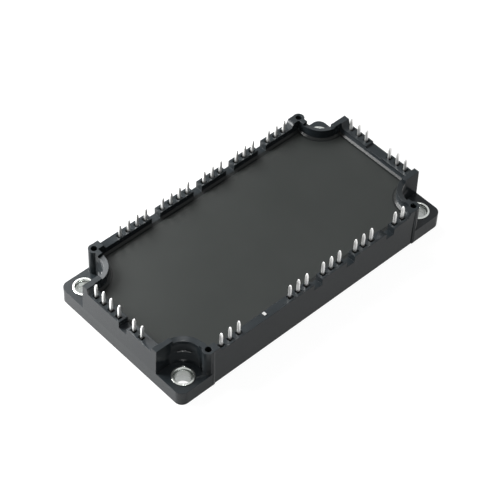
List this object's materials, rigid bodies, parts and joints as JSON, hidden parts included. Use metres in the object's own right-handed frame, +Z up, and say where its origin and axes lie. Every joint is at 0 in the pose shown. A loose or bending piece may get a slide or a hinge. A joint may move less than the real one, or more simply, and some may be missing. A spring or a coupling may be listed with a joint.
{
  "type": "power semiconductor module",
  "caption": "Flat power semiconductor module: black moulded frame on a metal base plate, rows of solder pins round a sunken lid, a screw recess in each corner.",
  "frame": {"origin": "middle of the cooling face, the underside of the base plate", "axes": "+X along the long side, +Y across, +Z up from the cooling face towards the pins"},
  "size_m": [0.122, 0.062, 0.0205],
  "materials": {
    "black_plastic": "moulded glass-filled plastic, fine matt grain",
    "lid_plastic": "smooth matt moulding, slightly paler than the frame",
    "sealant": "glossy cured sealant",
    "plate_copper": "nickel-plated copper",
    "ring_steel": "bright plated metal",
    "tinned_pins": "bright tin plating",
    "bare_copper": "bare copper",
    "solder": "dull solder",
    "substrate_ceramic": "white unglazed ceramic",
    "sensor_ceramic": "dark sintered body",
    "chip_silicon": "metallised silicon",
    "wire_aluminium": "drawn aluminium wire",
    "clear_gel": "soft translucent silicone"
  },
  "bodies": {
    "root": {"housing_frame": "black_plastic", "baseplate": "plate_copper", "mounting_bushings": "ring_steel", "lid": "lid_plastic", "lid_sealant": "sealant", "near_terminals_1": "tinned_pins", "near_terminals_2": "tinned_pins", "near_terminals_3": "tinned_pins", "near_terminals_4": "tinned_pins", "near_terminals_5": "tinned_pins", "far_terminals_1": "tinned_pins", "far_terminals_2": "tinned_pins", "far_terminals_3": "tinned_pins", "far_terminals_4": "tinned_pins", "far_terminals_5": "tinned_pins", "left_terminals_1": "tinned_pins", "left_terminals_2": "tinned_pins", "right_terminals_1": "tinned_pins", "right_terminals_2": "tinned_pins", "clipped_terminal": "tinned_pins", "base_solder": "solder", "lower_copper": "bare_copper", "ceramic_substrates": "substrate_ceramic", "upper_copper": "bare_copper", "chip_solder": "solder", "igbt_chips": "chip_silicon", "diode_chips": "chip_silicon", "rectifier_chips": "chip_silicon", "thermistor": "sensor_ceramic", "chip_bond_wires": "wire_aluminium", "terminal_bond_wires": "wire_aluminium", "silicone_gel": "clear_gel"}
  },
  "joints": []
}
